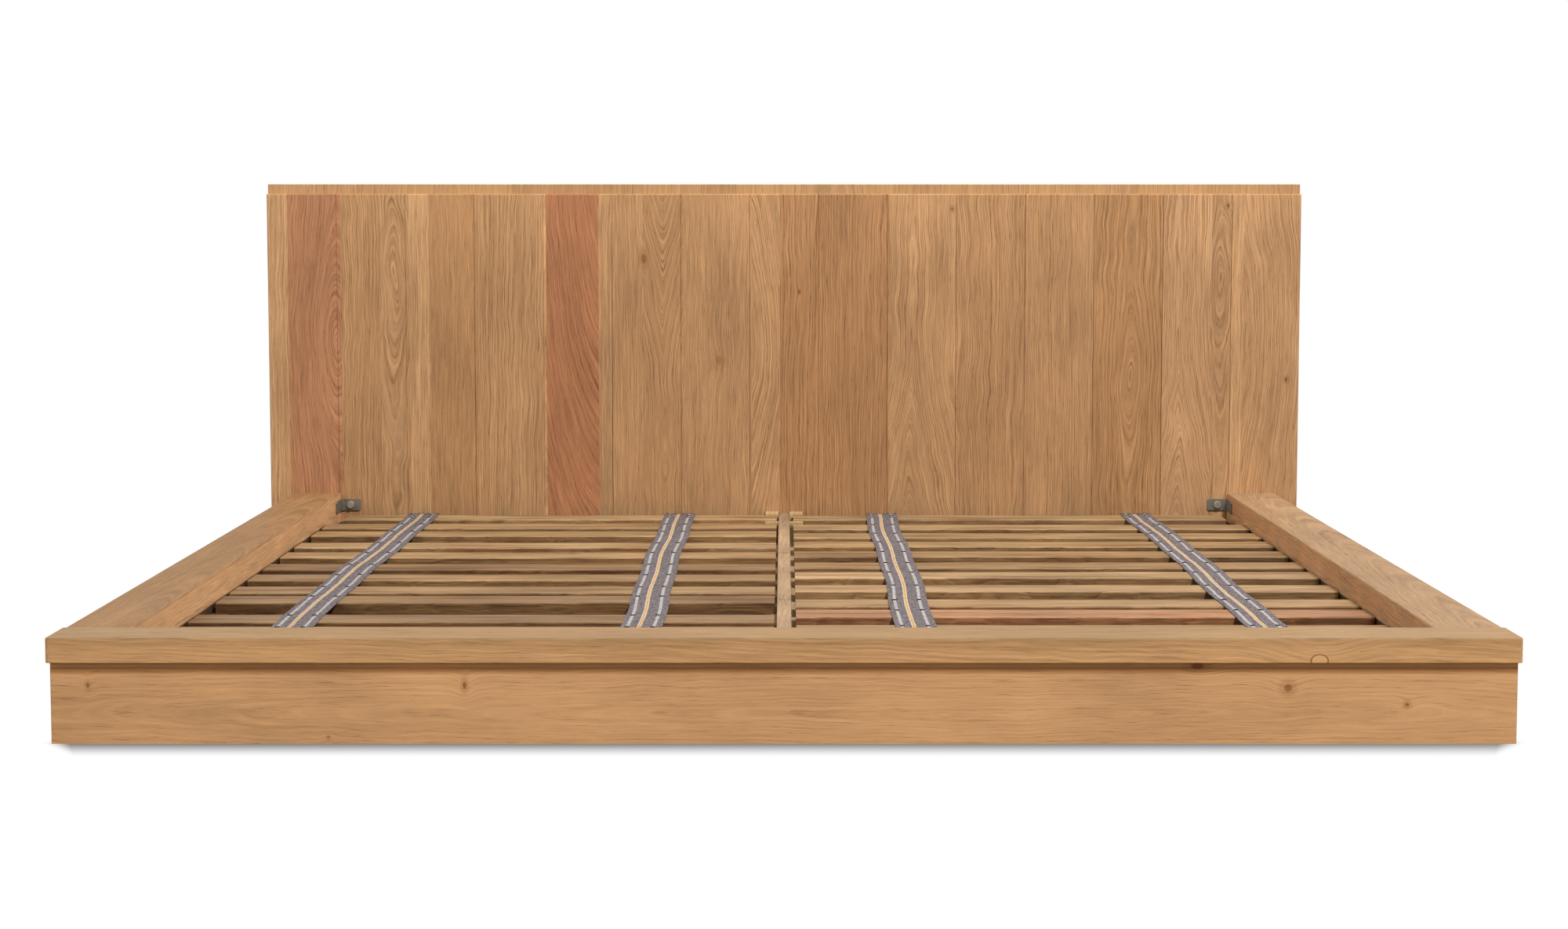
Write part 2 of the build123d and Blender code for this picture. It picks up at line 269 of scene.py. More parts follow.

# Depths below an upper face, or below the cap for the top of its painted shadow on the panel,
# between which the tone changes.
CAP_EDGE = (0.022, 0.006)
CAP_ROUNDING = (0.0042, 0.0010)
CAP_SHADOW_TOP = (0.008, 0.004)
LINING_SHOWN = (0.005, 0.001)
RECEIVER_SHADE = (0.016, 0.006)
# Painted shade: the factor that darkens the receivers below their top.
RECEIVER_DARK = 0.25
SLAT_ROUNDING = (0.003, 0.001)

# The cap's shadow on the panel: its depth below the cap, and the distances from there between
# which it fades.
CAP_SHADOW_DROP = 0.0115
CAP_SHADOW_FADE = (0.001, 0.008)
# Heights on the headboard, and places along the rails, between which the tone grows paler, with its
# factors there. On the rails' upper faces this is painted shade, darker towards the foot, where the
# lamps and sheen light them more.
HEADBOARD_PALER = (0.60, 0.86, 1.00, 1.12)
RAIL_TOP_SHADE = (0.10, 0.90, 0.86, 1.05)
# From here on, towards the head, the rails' lining has no painted shade.
LINING_UNSHADED = (0.78, 0.84)
# Ledgers are pale where they show beside the beam and turn to a dark painted shade under the slats
# over this distance.
LEDGER_FADE = 0.002
# Shares of a plank's width, from its middle, where the dark of a seam starts and is full. Seams
# come and go along and across the headboard.
PLANK_SEAM = (0.4945, 0.4985)
SEAM_SCALE = (40.0, 0.0, 2.0)
SEAM_OPEN = (0.35, 0.60, 0.10, 0.70)
# Ray flecks on the quietest stave.
RAY_FLECKS = 0.45
# A slat's tone starts this far before it. The ramp of tones ends this far inside the end slats.
TONE_LEAD = 0.01
RAMP_INSET = 0.02
# Stains on the slats: waves to the metre, ranges of dark and pale patches, and their strength.
STAIN_SCALE = (40.0, 40.0, 4.0)
STAIN_RANGE = (0.50, 0.70)
BLEACH_RANGE = (0.50, 0.30)
STAIN_STRENGTH = 0.9
# Slat fronts darken between these distances from the rail end, to this factor, as a painted shade
# near the rails.
SLAT_END_FADE = (0.30, 0.02)
SLAT_END_SHADE = 0.70

# The bed's shadow on the floor, measured out from its footprint: where it starts to give way to
# white and where all is white, past the ends, at the corners and past the sides.
SHADOW_END = (-0.02, 0.11)
SHADOW_CORNER = (-0.035, 0.015)
SHADOW_SIDE = (-0.01, 0.015)
# Where the zones at the ends take over from those at the sides, and how they narrow.
SHADOW_TURN = (-0.20, -0.05)
SHADOW_TAPER = 0.7
# Where the floor under the bed turns to painted shade, the darker below tone.
UNDER_BED = (-0.25, -0.05)

# Lamps: the setting that holds the watts, width, place and the point each one is aimed at.
LAMPS = (
    ("key", 1.0, (1.95, -3.6, 4.97), (0, -0.2, 0.3)),
    ("fill", 2.5, (-4.2, -2.4, 2.4), (0, -0.2, 0.3)),
    ("side", 2.5, (4.2, 0.3, 2.6), (0, -0.2, 0.3)),
    ("head", 1.8, (0.0, 1.2, 2.3), (0, 1.2, 0)),
    ("back", 1.0, (0.0, 4.2, 0.55), (0, 1.2, 0.45)),
)


def srgb(red, green, blue):
    """A screen colour, 0 to 255, as the scene colour Blender works in."""
    shares = (red / 255, green / 255, blue / 255)
    return tuple(s / 12.92 if s <= 0.04045 else ((s + 0.055) / 1.055) ** 2.4 for s in shares)


def colour(name, use, red, green, blue):
    """A colour the user can change, with a screen colour as its default."""
    return FloatVectorProperty(
        name=name,
        description=use,
        subtype="COLOR",
        size=3,
        min=0,
        max=1,
        default=srgb(red, green, blue),
    )


def length(name, use, default):
    """A length the user can change."""
    return FloatProperty(name=name, description=use, unit="LENGTH", min=0, default=default)


class BedOak(bpy.types.PropertyGroup):
    """Tones of the oak boards and staves"""

    honey: colour("Honey", "Pale yellow staves", 183, 142, 100)
    light: colour("Light", "Light staves", 174, 134, 94)
    blush: colour("Blush", "Pale pink staves", 177, 137, 98)
    tan: colour("Tan", "Middling staves", 168, 128, 89)
    olive: colour("Olive", "Greenish staves", 164, 123, 83)
    brown: colour("Brown", "Brown staves", 163, 121, 82)
    rose: colour("Rose", "Reddish staves", 168, 118, 84)
    russet: colour("Russet", "Dark red staves", 161, 109, 75)
    backing: colour("Backing", "Panel behind the planks", 174, 136, 94)
    # Painted shade and light: the cap and rail tops are written darker than their edges because the
    # lamps light upper faces more. The rail edges are written lighter for the light on the rails'
    # inner faces.
    cap: colour("Footboard cap", "Edge of the board along the top of the footboard", 200, 153, 104)
    cap_top: colour("Cap top", "Upper face of that board", 143, 114, 80)
    panel: colour("Footboard panel", "Front of the footboard", 205, 155, 106)
    left_rail: colour("Left rail", "Edges of the left rail", 190, 147, 106)
    left_rail_top: colour("Left rail top", "Upper face of the left rail", 147, 111, 74)
    right_rail: colour("Right rail", "Edges of the right rail", 199, 152, 110)
    right_rail_top: colour("Right rail top", "Upper face of the right rail", 155, 124, 92)
    # Painted shade: a dark tone for the lining where it stands in shade beside the slats.
    lining: colour("Lining", "Boards inside the rails, below the slats", 70, 50, 34)


class BedSlatWood(bpy.types.PropertyGroup):
    """Tones of the slats and of the pale timber that carries them"""

    fawn: colour("Fawn", "Middling slats", 138, 110, 76)
    sand: colour("Sand", "Lighter slats", 147, 118, 82)
    pale: colour("Pale", "Lightest slats", 153, 125, 90)
    umber: colour("Umber", "Dark slats", 123, 96, 65)
    rust: colour("Rust", "Reddish slats", 148, 108, 76)
    beam: colour("Beam", "Centre beam and legs", 151, 125, 97)
    receiver: colour("Receiver", "Forked blocks that carry the beam", 186, 156, 108)
    # Painted shade: a dark tone for the strips where the slats shade them.
    ledger: colour("Ledger", "Strips under the slat ends", 84, 62, 44)


class BedWebbing(bpy.types.PropertyGroup):
    """The woven straps that space the slats"""

    thickness: length("Thickness", "Thickness of the webbing", 0.0016)
    sag: length("Sag", "Dip of the webbing between two slats", 0.0008)
    sway: length("Sway", "How far a strap wanders from a straight line", 0.0026)
    ground: colour("Ground", "Grey weave", 99, 91, 91)
    stripe: colour("Stripe", "Pale stripes near the edges", 157, 151, 148)
    yellow: colour("Yellow", "Pair of yellow lines in the middle", 188, 153, 102)
    olive: colour("Olive", "Thin dark line between the yellow ones", 138, 112, 74)
    lilac: colour("Lilac", "Lilac line beside the yellow", 168, 158, 172)
    cream: colour("Cream", "Cream line on the other side of the yellow", 182, 166, 146)
    fray: colour("Fray", "Loose threads at the ends", 66, 62, 58)


class BedMetal(bpy.types.PropertyGroup):
    """Staples, brackets and bolts"""

    staple_width: length("Staple width", "Width of a staple's crown", 0.0075)
    staple_wire: length("Staple wire", "Thickness of the staple wire", 0.0018)
    staple_leg: length("Staple leg", "How deep a staple is driven", 0.0080)
    staple: colour("Staple", "Lacquered staple wire", 38, 36, 36)
    bracket: colour("Bracket", "Plate of the corner brackets", 120, 116, 104)
    bolt: colour("Bolt", "Bolts and their heads", 176, 171, 156)


class BedStudio(bpy.types.PropertyGroup):
    """Camera, lamps and floor"""

    distance: length("Camera distance", "From the footboard to the camera", 4.228)
    height: length("Camera height", "Camera above the floor", 0.797)
    tilt: FloatProperty(
        name="Camera tilt",
        description="How far the camera looks down",
        subtype="ANGLE",
        default=math.radians(5.13),
    )
    lens: FloatProperty(
        name="Lens", description="Focal length in millimetres", default=66.24, min=1
    )
    key: FloatProperty(name="Key lamp", description="Watts of the key lamp", default=430, min=0)
    fill: FloatProperty(name="Fill lamp", description="Watts of the left lamp", default=90, min=0)
    side: FloatProperty(name="Side lamp", description="Watts of the right lamp", default=95, min=0)
    head: FloatProperty(name="Head lamp", description="Watts over the head end", default=28, min=0)
    back: FloatProperty(name="Back lamp", description="Watts behind the bed", default=60, min=0)
    sky: FloatProperty(name="Sky", description="Even light from all round", default=0.30, min=0)
    # Painted shade: a dark tone for the floor in the bed's shade, under the slats.
    below: colour("Below", "Floor under the slats", 76, 64, 54)
    floor: colour("Floor", "Studio floor where the bed shades it", 98, 98, 99)


class Graph:
    """Adds and links the nodes of one node tree."""

    def __init__(self, tree):
        self.tree = tree

    def add(self, kind, **settings):
        """A new node with its settings made."""
        node = self.tree.nodes.new(kind)
        for name, value in settings.items():
            setattr(node, name, value)
        return node

    def feed(self, socket, value):
        """Link a socket to another node, or set its own value."""
        if isinstance(value, bpy.types.NodeSocket):
            self.tree.links.new(value, socket)
        elif socket.type == "RGBA" and len(value) == 3:
            socket.default_value = (*value, 1)
        else:
            socket.default_value = value

    def math(self, operation, *values, clamp=False):
        """One sum on plain numbers."""
        node = self.add("ShaderNodeMath", operation=operation, use_clamp=clamp)
        for socket, value in zip(node.inputs, values):
            self.feed(socket, value)
        return node.outputs[0]

    def around(self, value, strength):
        """Strength times how far a value is from one half."""
        return self.math("MULTIPLY", self.math("SUBTRACT", value, 0.5), strength)

    def vector(self, x, y, z):
        """Three numbers as one vector."""
        node = self.add("ShaderNodeCombineXYZ")
        for socket, value in zip(node.inputs, (x, y, z)):
            self.feed(socket, value)
        return node.outputs[0]

    def stretched(self, place, scales, shift=0.0):
        """A place scaled along each axis, the last axis shifted as well."""
        scaled = [self.math("MULTIPLY", p, s) for p, s in zip(place, scales)]
        scaled[2] = self.math("ADD", scaled[2], shift)
        return self.vector(*scaled)

    def noise(self, vector, detail, roughness=0.5):
        """Smooth noise, about 0.5."""
        node = self.add("ShaderNodeTexNoise")
        self.feed(node.inputs["Vector"], vector)
        self.feed(node.inputs["Scale"], 1.0)
        self.feed(node.inputs["Detail"], detail)
        self.feed(node.inputs["Roughness"], roughness)
        return node.outputs["Fac"]

    def chance(self, vector):
        """One random number for each vector."""
        node = self.add("ShaderNodeTexWhiteNoise", noise_dimensions="3D")
        self.feed(node.inputs["Vector"], vector)
        return node.outputs["Value"]

    def fade(self, value, start, end, low=0.0, high=1.0):
        """A smooth step from low to high."""
        node = self.add("ShaderNodeMapRange", interpolation_type="SMOOTHSTEP")
        for socket, number in zip(node.inputs, (value, start, end, low, high)):
            self.feed(socket, number)
        return node.outputs[0]

    def mix(self, share, first, second):
        """Two colours mixed."""
        node = self.add("ShaderNodeMix", data_type="RGBA")
        self.feed(node.inputs[0], share)
        self.feed(node.inputs[6], first)
        self.feed(node.inputs[7], second)
        return node.outputs[2]

    def dim(self, tone, factor):
        """A colour times a number, or times another colour."""
        if isinstance(factor, tuple):
            node = self.add("ShaderNodeVectorMath", operation="MULTIPLY")
            self.feed(node.inputs[1], factor)
        else:
            node = self.add("ShaderNodeVectorMath", operation="SCALE")
            self.feed(node.inputs["Scale"], factor)
        self.feed(node.inputs[0], tone)
        return node.outputs[0]

    def tint(self, tone, share, factor):
        """A colour changed by a factor, as far as the share goes."""
        return self.mix(share, tone, self.dim(tone, factor))

    def split(self, vector):
        """The three parts of a vector or colour."""
        node = self.add("ShaderNodeSeparateXYZ")
        self.feed(node.inputs[0], vector)
        return node.outputs[0], node.outputs[1], node.outputs[2]

    def ramp(self, value, stops):
        """Colour and alpha looked up along a ramp of flat steps."""
        node = self.add("ShaderNodeValToRGB")
        band = node.color_ramp
        band.interpolation = "CONSTANT"
        band.elements.remove(band.elements[1])
        for number, (place, shade) in enumerate(stops):
            stop = band.elements.new(place) if number else band.elements[0]
            stop.position = place
            stop.color = shade
        self.feed(node.inputs[0], value)
        return node.outputs["Color"], node.outputs["Alpha"]

    def shader(self, **values):
        """A principled shader joined to the material's output."""
        node = self.add("ShaderNodeBsdfPrincipled")
        for name, value in values.items():
            self.feed(node.inputs[name.replace("_", " ")], value)
        out = self.add("ShaderNodeOutputMaterial")
        self.tree.links.new(node.outputs[0], out.inputs[0])

    def bump(self, height, distance, strength=1.0):
        """A surface normal roughened by a height."""
        node = self.add("ShaderNodeBump")
        self.feed(node.inputs["Height"], height)
        self.feed(node.inputs["Distance"], distance)
        self.feed(node.inputs["Strength"], strength)
        return node.outputs[0]


def new_material(name):
    """An empty node material and its graph."""
    material = bpy.data.materials.new(name)
    material.use_nodes = True
    material.node_tree.nodes.clear()
    return material, Graph(material.node_tree)


def oak_figure():
    """The node group that saws a board out of a tree, and shows its rings and other marks."""
    if "sawn oak" in bpy.data.node_groups:
        return bpy.data.node_groups["sawn oak"]
    group = bpy.data.node_groups.new("sawn oak", "ShaderNodeTree")
    inputs = "Along Across Depth Heart Crossing Lean Reach Climb Wander Ring Seed Bulge"
    for name in inputs.split():
        group.interface.new_socket(name, in_out="INPUT", socket_type="NodeSocketFloat")
    for name in ("Rings", "Pores", "Fibre", "Streaks", "Drift", "Flecks"):
        group.interface.new_socket(name, in_out="OUTPUT", socket_type="NodeSocketFloat")
    g = Graph(group)
    board = g.add("NodeGroupInput").outputs
    out = g.add("NodeGroupOutput").inputs
    place = (board["Across"], board["Depth"], board["Along"])
    shift = g.math("MULTIPLY", board["Seed"], SEED_SHIFT)

    def grain(where, across, along, detail, roughness=0.5):
        """Noise with so many waves to the metre across and along the board."""
        return g.noise(g.stretched(where, (across, across, along), shift), detail, roughness)

    # Distance from the heart of the tree, with the ways in which the grain strays.
    slow = grain(place, across=5.0, along=2.4, detail=1.0)
    ripple = grain(place, across=9.0, along=10.0, detail=1.0)
    quick = grain(place, across=30.0, along=16.0, detail=2.0)
    stray = g.math("ADD", g.around(slow, SLOW_STRAY), g.around(ripple, RIPPLE_STRAY))
    past = g.math("SUBTRACT", board["Along"], board["Crossing"])
    side = g.math("SUBTRACT", board["Across"], board["Heart"])
    side = g.math("MULTIPLY_ADD", stray, board["Wander"], side)
    fall = g.math("DIVIDE", g.math("MULTIPLY", board["Lean"], past), board["Reach"])
    fall = g.math("MULTIPLY", g.math("TANH", fall), board["Reach"])
    below = g.math("SUBTRACT", board["Depth"], fall)
    squares = g.math("ADD", g.math("MULTIPLY", side, side), g.math("MULTIPLY", below, below))
    radius = g.math("ADD", g.math("SQRT", squares), board["Bulge"])
    climb = g.math("MULTIPLY", board["Climb"], past)
    climb = g.math("SMOOTH_MIN", climb, 0.0, ARCH_ROUNDING)
    radius = g.math("ADD", g.math("ADD", radius, climb), g.around(quick, QUICK_STRAY))

    # Years of uneven width, each with a late line of its own strength, broken by pores.
    count = g.math("DIVIDE", radius, board["Ring"])
    years = g.noise(g.vector(g.math("MULTIPLY", count, YEAR_PACE), shift, 0.0), detail=1.0)
    count = g.math("ADD", count, g.around(years, YEAR_SPREAD))
    year = g.math("FLOOR", count)
    season = g.math("SUBTRACT", count, year)
    winter = g.fade(season, LATE_WOOD[1], 1.0, 1.0, 0.0)
    line = g.math("MULTIPLY", g.fade(season, *LATE_WOOD), winter)
    luck = g.chance(g.vector(year, shift, 3.0))
    strength = g.math("MULTIPLY_ADD", luck, 1.0 - FAINTEST_RING, FAINTEST_RING)
    rings = g.math("MULTIPLY", line, strength)
    pores = grain(place, across=420.0, along=26.0, detail=2.0, roughness=0.6)
    g.feed(out["Rings"], g.math("MULTIPLY", rings, g.fade(pores, *RING_BREAKS)))
    crowded = g.math("MULTIPLY_ADD", rings, PORES_IN_RINGS, PORES_APART)
    g.feed(out["Pores"], g.math("MULTIPLY", g.fade(pores, *PORE_RANGE), crowded))

    # Fibre and streaks follow the rings. Drift and flecks follow the board.
    turned = (radius, board["Depth"], board["Along"])
    g.feed(out["Fibre"], grain(turned, across=400.0, along=10.0, detail=3.0, roughness=0.65))
    g.feed(out["Streaks"], grain(turned, across=270.0, along=2.6, detail=3.0, roughness=0.6))
    g.feed(out["Drift"], grain(place, across=9.0, along=3.0, detail=3.0))
    flecks = grain(place, across=95.0, along=380.0, detail=1.0)
    g.feed(out["Flecks"], g.fade(flecks, *FLECK_RANGE))
    return group


class Timber:
    """One wood finish: the way its grain runs, then its figure, knots and surface."""

    def __init__(self, name, along, across, depth, face):
        self.material, self.graph = new_material(name)
        place = self.graph.add("ShaderNodeTexCoord").outputs["Object"]
        self.axis = dict(zip("XYZ", self.graph.split(place)))
        self.along = self.axis[along]
        self.across = self.axis[across]
        self.depth = self.graph.math("SUBTRACT", self.axis[depth], face)
        self.bulge = 0.0
        self.hearts = 0.0
        self.patch = 0.0
        self.figure = None

    def spot(self, across, along, size, stretch):
        """Square of the distance from an oval spot's middle, 1 at its rim."""
        g = self.graph
        a = g.math("DIVIDE", g.math("SUBTRACT", self.across, across), size)
        b = g.math("DIVIDE", g.math("SUBTRACT", self.along, along), stretch * size)
        return g.math("ADD", g.math("MULTIPLY", a, a), g.math("MULTIPLY", b, b))

    def swell(self, reach, spread, height):
        """Push the grain aside round a spot."""
        g = self.graph
        rise = g.math("EXPONENT", g.math("MULTIPLY", reach, -spread))
        self.bulge = g.math("ADD", self.bulge, g.math("MULTIPLY", rise, height))

    def plug(self, across, along, size, stretch):
        """A pale round patch let into the board, with a dark rim."""
        g = self.graph
        reach = self.spot(across, along, size, stretch)
        self.swell(reach, spread=0.03, height=1.6 * size)
        inside = g.fade(reach, *PLUG_RIM_INSIDE)
        rim = g.math("MULTIPLY", inside, g.fade(reach, *PLUG_RIM_OUTSIDE))
        self.hearts = g.math("MAXIMUM", self.hearts, rim)
        self.patch = g.fade(reach, *PLUG_FACE)

    def knot(self, across, along, size, stretch, dark):
        """A small dark knot with a faint halo."""
        g = self.graph
        reach = self.spot(across, along, size, stretch)
        self.swell(reach, spread=0.08, height=1.1 * size)
        heart = g.fade(reach, *KNOT_HEART, dark, 0.0)
        halo = g.fade(reach, *KNOT_HALO, HALO_STRENGTH * dark, 0.0)
        self.hearts = g.math("MAXIMUM", self.hearts, g.math("MAXIMUM", heart, halo))

    def saw(self, **cut):
        """How the board lay in the tree, and so which figure its face shows."""
        g = self.graph
        self.figure = g.add("ShaderNodeGroup", node_tree=oak_figure())
        cut = dict(Along=self.along, Across=self.across, Depth=self.depth, Bulge=self.bulge, **cut)
        for name, value in cut.items():
            g.feed(self.figure.inputs[name], value)

    def near_top(self, top, depths, low=0.0, high=1.0):
        """A smooth step from low to high between two depths below an upper face."""
        start, end = depths
        return self.graph.fade(self.axis["Z"], top - start, top - end, low, high)

    def topped(self, side, top, arris=1.0):
        """One tone on a cap's upper face and another on its edges, which may darken upwards. The
        darker upper tone is painted shade, because the lamps light upper faces more.
        """
        height = max(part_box(name)[1].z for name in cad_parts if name.endswith("_cap"))
        edge = self.graph.dim(tuple(side), self.near_top(height, CAP_EDGE, 1.0, arris))
        return self.graph.mix(self.near_top(height, CAP_ROUNDING), edge, top)

    def finish(self, tone, rings=0.4, streaks=0.4, pores=0.7, drift=0.30, fibre=0.55, flecks=0.0,
               rough=0.46, sheen=0.20, seams=0.0):
        """Oiled surface in one tone, or in a tone looked up by the caller."""
        g = self.graph
        part = self.figure.outputs
        drifting = g.around(part["Drift"], drift * 2)
        light = g.math("ADD", drifting, g.around(part["Fibre"], fibre * 2))
        lift = g.math("MULTIPLY_ADD", streaks, STREAK_LIFT, 1.0)
        shade = g.dim(tone, g.math("ADD", light, lift))
        band = g.math("MULTIPLY", g.fade(part["Streaks"], *STREAK_RANGE), streaks)
        shade = g.tint(shade, band, STREAK)
        shade = g.tint(shade, g.math("MULTIPLY", part["Rings"], rings, clamp=True), RING)
        shade = g.tint(shade, g.math("MULTIPLY", part["Pores"], pores), PORE)
        shade = g.tint(shade, g.math("MULTIPLY", part["Flecks"], flecks), RAY_FLECK)
        shade = g.mix(self.patch, shade, g.dim(tone, PLUG))
        shade = g.tint(shade, self.hearts, KNOT)
        shade = g.tint(shade, seams, SEAM)
        relief = g.math("SUBTRACT", g.around(part["Fibre"], FIBRE_RELIEF), part["Pores"])
        g.shader(
            Base_Color=shade,
            Roughness=g.math("ADD", rough, g.around(part["Fibre"], FIBRE_GLOSS)),
            Specular_IOR_Level=sheen,
            Normal=g.bump(relief, distance=0.00025, strength=0.6),
        )
        return self.material


def cover(material, *nodes):
    """Give CAD pieces one finish."""
    for name in nodes:
        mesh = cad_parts[name].data
        mesh.materials.clear()
        mesh.materials.append(material)


def new_piece(name, bm, material, body):
    """A finished mesh as a piece that rides a body."""
    bmesh.ops.recalc_face_normals(bm, faces=bm.faces)
    mesh = bpy.data.meshes.new(name)
    bm.to_mesh(mesh)
    bm.free()
    mesh.materials.append(material)
    piece = bpy.data.objects.new(name, mesh)
    bpy.context.scene.collection.objects.link(piece)
    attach(piece, body)
    return piece


def seed_of(number, first):
    """A seed for each of a row of boards."""
    return (first + GOLDEN_STEP * number) % 1


def headboard_oak(oak):
    """Upright staves of different trees, planked side by side."""
    timber = Timber("headboard oak", "Z", "X", "Y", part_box(PLANKS[0])[0].y)
    g = timber.graph
    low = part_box(PLANKS[0])[0].x
    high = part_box(PLANKS[-1])[1].x
    share = g.math("DIVIDE", g.math("SUBTRACT", timber.axis["X"], low), high - low)
    edges = []
    for plank, start, *_ in STAVES:
        left, right = (corner.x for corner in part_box(PLANKS[plank - 1]))
        edges.append(left + start * (right - left))
    edges.append(high)
    tones, hearts, rings = [], [], []
    for number, (*_, tone, figure) in enumerate(STAVES):
        place = (edges[number] - low) / (high - low)
        heart, crossing, lean, reach, climb, wander, ring, contrast = FIGURES[figure]
        heart = (edges[number] + heart * (edges[number + 1] - edges[number])) / HEART_SPAN
        crossing = crossing / CROSSING_SPAN
        tones.append((place, (*getattr(oak, tone), seed_of(number, first=0.37))))
        hearts.append((place, (0.5 + heart, 0.5 + crossing, lean / LEAN_SPAN, reach)))
        rings.append((place, (wander / WANDER_SPAN, ring / RING_SPAN, contrast, 0.5 + climb)))
    tone, seed = g.ramp(share, tones)
    heart, reach = g.ramp(share, hearts)
    heart, crossing, lean = g.split(heart)
    ring, climb = g.ramp(share, rings)
    wander, ring, contrast = g.split(ring)
    for knot in HEADBOARD_KNOTS:
        timber.knot(*knot)
    timber.saw(
        Heart=g.around(heart, HEART_SPAN),
        Crossing=g.around(crossing, CROSSING_SPAN),
        Lean=g.math("MULTIPLY", lean, LEAN_SPAN),
        Reach=reach,
        Climb=g.math("SUBTRACT", climb, 0.5),
        Wander=g.math("MULTIPLY", wander, WANDER_SPAN),
        Ring=g.math("MULTIPLY", ring, RING_SPAN),
        Seed=seed,
    )
    plank_share = g.math("FRACT", g.math("MULTIPLY", share, len(PLANKS)))
    edge = g.math("ABSOLUTE", g.math("SUBTRACT", plank_share, 0.5))
    lengths = g.stretched((share, timber.depth, timber.axis["Z"]), SEAM_SCALE)
    open_seam = g.fade(g.noise(lengths, detail=1.0), *SEAM_OPEN)
    seams = g.math("MULTIPLY", g.fade(edge, *PLANK_SEAM), open_seam)
    rays = g.math("MULTIPLY", g.math("SUBTRACT", 1.0, contrast), RAY_FLECKS)
    tone = g.dim(tone, g.fade(timber.axis["Z"], *HEADBOARD_PALER))
    return timber.finish(tone, rings=contrast, streaks=contrast, drift=0.4, fibre=0.7, flecks=rays,
                         seams=seams)


def plain_oak(name, axes, face, heart, seed, knots=(), plugs=(), crossing=-2.4):
    """A board sawn near the outside of the tree, with long arches and sweeps."""
    timber = Timber(name, *axes, face)
    for knot in knots:
        timber.knot(*knot)
    for plug in plugs:
        timber.plug(*plug)
    timber.saw(
        Heart=heart,
        Crossing=crossing,
        Lean=0.03,
        Reach=1.0,
        Climb=0.006,
        Wander=0.012,
        Ring=0.0055,
        Seed=seed,
    )
    return timber


def backing_oak(oak):
    """The panel behind the planks."""
    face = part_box("headboard_back_panel")[0].y
    backing = plain_oak("backing oak", "ZXY", face, heart=0.09, seed=0.41)
    return backing.finish(tuple(oak.backing), streaks=0.3, rings=0.3)


def cap_oak(oak):
    """The footboard cap, with a round patch in its edge."""
    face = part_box("footboard_cap")[0].y
    cap = plain_oak("cap oak", "XZY", face, heart=0.06, seed=0.13, plugs=[CAP_PLUG])
    # Painted shade: the upper face takes the darker top tone.
    tone = cap.topped(oak.cap, tuple(oak.cap_top), arris=0.86)
    return cap.finish(tone, streaks=0.28, rings=0.3, pores=0.4, rough=0.58, sheen=0.10)


def panel_oak(oak):
    """The footboard's front, with a painted shadow where the cap shades it, lighter and warmer just
    under the cap.
    """
    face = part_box("footboard_panel")[0].y
    panel = plain_oak("panel oak", "XZY", face, 0.045, 0.77, PANEL_KNOTS, crossing=0.35)
    g = panel.graph
    plain = tuple(oak.panel)
    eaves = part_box("footboard_cap")[0].z
    # Painted shadow of the cap along the panel's top.
    off = g.math("ABSOLUTE", g.math("SUBTRACT", panel.axis["Z"], eaves - CAP_SHADOW_DROP))
    tone = g.tint(plain, g.fade(off, *CAP_SHADOW_FADE, 1.0, 0.0), CAP_SHADOW)
    # Painted shade: lighter and warmer just under the cap.
    tone = g.mix(panel.near_top(eaves, CAP_SHADOW_TOP), tone, g.dim(plain, CAP_SHADOW_TOP_TINT))
    return panel.finish(tone, rings=0.3, streaks=0.15, pores=0.4, drift=0.4, fibre=0.35)


def rail_oak(oak, side):
    """A side rail, its upper face darker than its edges and dimmer towards the foot, both painted
    shade.
    """
    low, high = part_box(side + "_rail_cap")
    heart = (low.x + high.x) / 2 + RAIL_HEART
    rail = plain_oak(side + " rail oak", "YXZ", high.z, heart, RAIL_SEEDS[side])
    # Painted shade: the upper face dims towards the foot.
    shade = rail.graph.fade(rail.axis["Y"], *RAIL_TOP_SHADE)
    top = rail.graph.dim(tuple(getattr(oak, side + "_rail_top")), shade)
    tone = rail.topped(getattr(oak, side + "_rail"), top)
    return rail.finish(tone, pores=0.4, rough=0.58, sheen=0.07)


def lining_oak(oak, side):
    """The board inside a rail, with painted shade beside the slats, and in the rail's tone above
    them and at the head.
    """
    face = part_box(side + "_rail_inner_board")[0].x
    lining = plain_oak(side + " lining oak", "YZX", face, heart=0.09, seed=RAIL_SEEDS[side])
    g = lining.graph
    above = lining.near_top(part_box(SLATS[side][0])[1].z, LINING_SHOWN)
    shown = g.math("MAXIMUM", above, g.fade(lining.axis["Y"], *LINING_UNSHADED))
    # Painted shade: the dark lining tone beside the slats, the rail's tone above them and towards
    # the head.
    tone = g.mix(shown, tuple(oak.lining), tuple(getattr(oak, side + "_rail")))
    return lining.finish(tone)


def beam_wood(woods):
    """The centre beam, with thin marks across its top."""
    beam = plain_oak("beam wood", "YXZ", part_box("centre_beam")[1].z, heart=0.07, seed=0.57)
    g = beam.graph
    marks = 0.0
    for along, dark in BEAM_MARKS:
        away = g.math("ABSOLUTE", g.math("SUBTRACT", beam.axis["Y"], along))
        marks = g.math("MAXIMUM", marks, g.fade(away, *BEAM_MARK_ALONG, dark, 0.0))
    aside = g.math("ABSOLUTE", beam.axis["X"])
    marks = g.math("MULTIPLY", marks, g.fade(aside, *BEAM_MARK_ACROSS, 1.0, 0.0))
    return beam.finish(tuple(woods.beam), rings=0.1, drift=0.7, rough=0.58, sheen=0.13, seams=marks)


